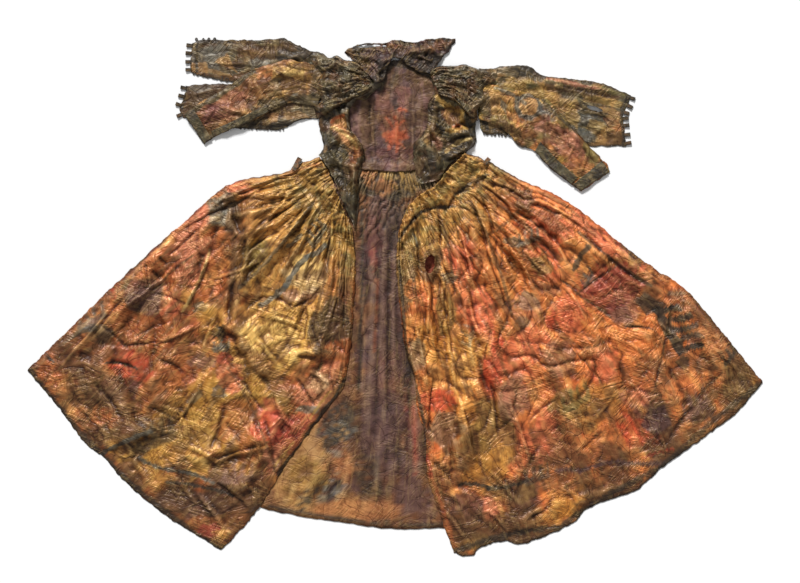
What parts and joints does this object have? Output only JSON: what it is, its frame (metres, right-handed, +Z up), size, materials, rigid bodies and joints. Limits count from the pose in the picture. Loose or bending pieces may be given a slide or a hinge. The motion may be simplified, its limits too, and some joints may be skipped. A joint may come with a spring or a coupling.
{
  "type": "silk gown laid flat",
  "caption": "Open-fronted silk gown with gathered skirt, collar, shoulder wings, narrow sleeves and looped hanging sleeves, laid flat.",
  "frame": {"origin": "middle of the gown's outline from above, on the surface that it lies on", "axes": "+Z up from the surface, +Y towards the collar, +X towards the wearer's left side"},
  "size_m": [2.43, 1.711, 0.0598],
  "materials": {
    "silk_skirt": "worn silk damask, rust, orange, gold and grey-brown stains, soft sheen",
    "silk_inside": "inside of the silk, dusky red-brown, nearly matt",
    "silk_bodice": "crumpled dark olive-brown silk with golden worn edges",
    "silk_sleeve": "worn silk damask, gold, pink-brown and taupe",
    "silk_collar": "dark brown silk, frayed",
    "silk_band": "plain dark band",
    "silk_loop": "dark folded strips"
  },
  "bodies": {
    "root": {"skirt_back": "silk_inside", "skirt_front_right": "silk_skirt", "skirt_front_left": "silk_skirt", "bodice_back": "silk_inside", "bodice_front_right": "silk_bodice", "bodice_front_left": "silk_bodice", "collar": "silk_collar", "shoulder_wing_right": "silk_bodice", "shoulder_wing_left": "silk_bodice", "sleeve_under_right": "silk_sleeve", "sleeve_top_right": "silk_sleeve", "sleeve_under_left": "silk_sleeve", "sleeve_top_left": "silk_sleeve", "sleeve_band_left": "silk_band", "cuff_band_left": "silk_band", "sleeve_band_right": "silk_band", "cuff_band_right": "silk_band", "hanging_sleeve_front_right": "silk_sleeve", "hanging_sleeve_back_right": "silk_sleeve", "hanging_sleeve_front_left": "silk_sleeve", "hanging_sleeve_back_left": "silk_sleeve", "loop_front_right_1": "silk_loop", "loop_front_right_2": "silk_loop", "loop_front_right_3": "silk_loop", "loop_front_right_4": "silk_loop", "loop_back_right_1": "silk_loop", "loop_back_right_2": "silk_loop", "loop_back_right_3": "silk_loop", "loop_back_right_4": "silk_loop", "loop_front_left_1": "silk_loop", "loop_front_left_2": "silk_loop", "loop_front_left_3": "silk_loop", "loop_front_left_4": "silk_loop", "loop_front_left_5": "silk_loop", "loop_front_left_6": "silk_loop", "loop_front_left_7": "silk_loop", "waist_loop_right": "silk_loop", "waist_loop_left": "silk_loop"}
  },
  "joints": []
}
